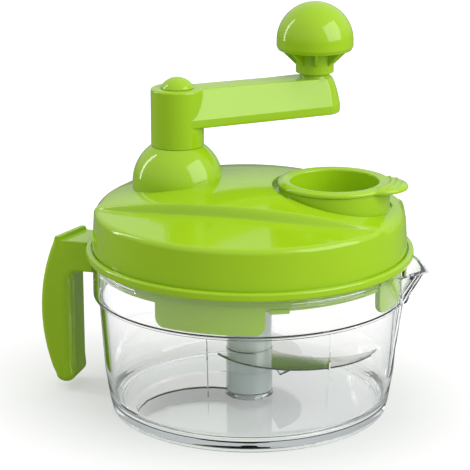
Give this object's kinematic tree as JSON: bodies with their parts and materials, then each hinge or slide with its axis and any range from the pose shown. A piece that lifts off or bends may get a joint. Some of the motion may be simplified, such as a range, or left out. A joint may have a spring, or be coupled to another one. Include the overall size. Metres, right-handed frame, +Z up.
{
  "type": "crank food chopper",
  "caption": "Hand cranked food chopper: clear bowl with a spout and handle, lid with a geared crank and a feed cup, and curved blades that turn on a pin.",
  "frame": {"origin": "the bowl's axis, where it meets the plane of the foot ring that stands on the table", "axes": "+Z up along the bowl's axis, +X towards the spout, so the handle lies at -X and the crank's spindle stands between the axis and the handle"},
  "size_m": [0.2206, 0.18, 0.219],
  "materials": {
    "green_plastic": "glossy lime green",
    "clear_plastic": "clear moulded plastic, polished",
    "hub_plastic": "translucent blue-grey moulded plastic",
    "steel": "turned steel",
    "blade_steel": "ground and polished stainless steel",
    "nylon": "natural nylon",
    "acetal": "white acetal"
  },
  "bodies": {
    "bowl": {"bowl": "clear_plastic", "pivot_pin": "steel", "handle_shell": "green_plastic", "handle_cover": "green_plastic", "handle_screw": "steel"},
    "lid": {"lid_base": "green_plastic", "lid_shell": "green_plastic", "lid_screws": "steel", "pinion_bush": "acetal", "spindle_bush": "acetal", "thrust_washer": "acetal"},
    "crank": {"crank_spindle": "steel", "crank_gear": "nylon", "gear_pin": "steel", "crank_arm": "green_plastic", "crank_arm_cover": "green_plastic", "arm_cover_screws": "steel", "crank_screw": "steel", "crank_cap": "green_plastic", "knob_pin": "steel", "knob_washer": "steel"},
    "knob": {"knob_core": "green_plastic", "knob_dome": "green_plastic"},
    "pinion": {"drive_pinion": "nylon", "pinion_clip": "steel"},
    "blades": {"blade_shaft": "hub_plastic", "hub_foot": "hub_plastic", "lower_spacer": "hub_plastic", "upper_spacer": "hub_plastic", "blade_lower": "blade_steel", "blade_middle": "blade_steel", "blade_upper": "blade_steel"},
    "cup": {"feed_cup": "green_plastic"}
  },
  "joints": [
    {"name": "lid_lift", "type": "slide", "parent": "bowl", "child": "lid", "axis": [0, 0, 1], "range_m": [0, 0.12]},
    {"name": "crank_turn", "type": "hinge", "parent": "lid", "child": "crank", "pos_m": [-0.041, 0, 0.16], "axis": [0, 0, 1], "continuous": true},
    {"name": "knob_spin", "type": "hinge", "parent": "crank", "child": "knob", "pos_m": [0.0235, 0.05223, 0.19], "axis": [0, 0, 1], "continuous": true},
    {"name": "pinion_spin", "type": "hinge", "parent": "lid", "child": "pinion", "pos_m": [0, 0, 0.09], "axis": [0, 0, 1], "continuous": true},
    {"name": "blade_spin", "type": "hinge", "parent": "bowl", "child": "blades", "pos_m": [0, 0, 0.02], "axis": [0, 0, 1], "continuous": true},
    {"name": "cup_lift", "type": "slide", "parent": "lid", "child": "cup", "axis": [0, 0, 1], "range_m": [0, 0.024]}
  ],
  "couplings": [
    {"joint": "pinion_spin", "follows": "crank_turn", "ratio": -2.28},
    {"joint": "blade_spin", "follows": "crank_turn", "ratio": -2.28}
  ]
}
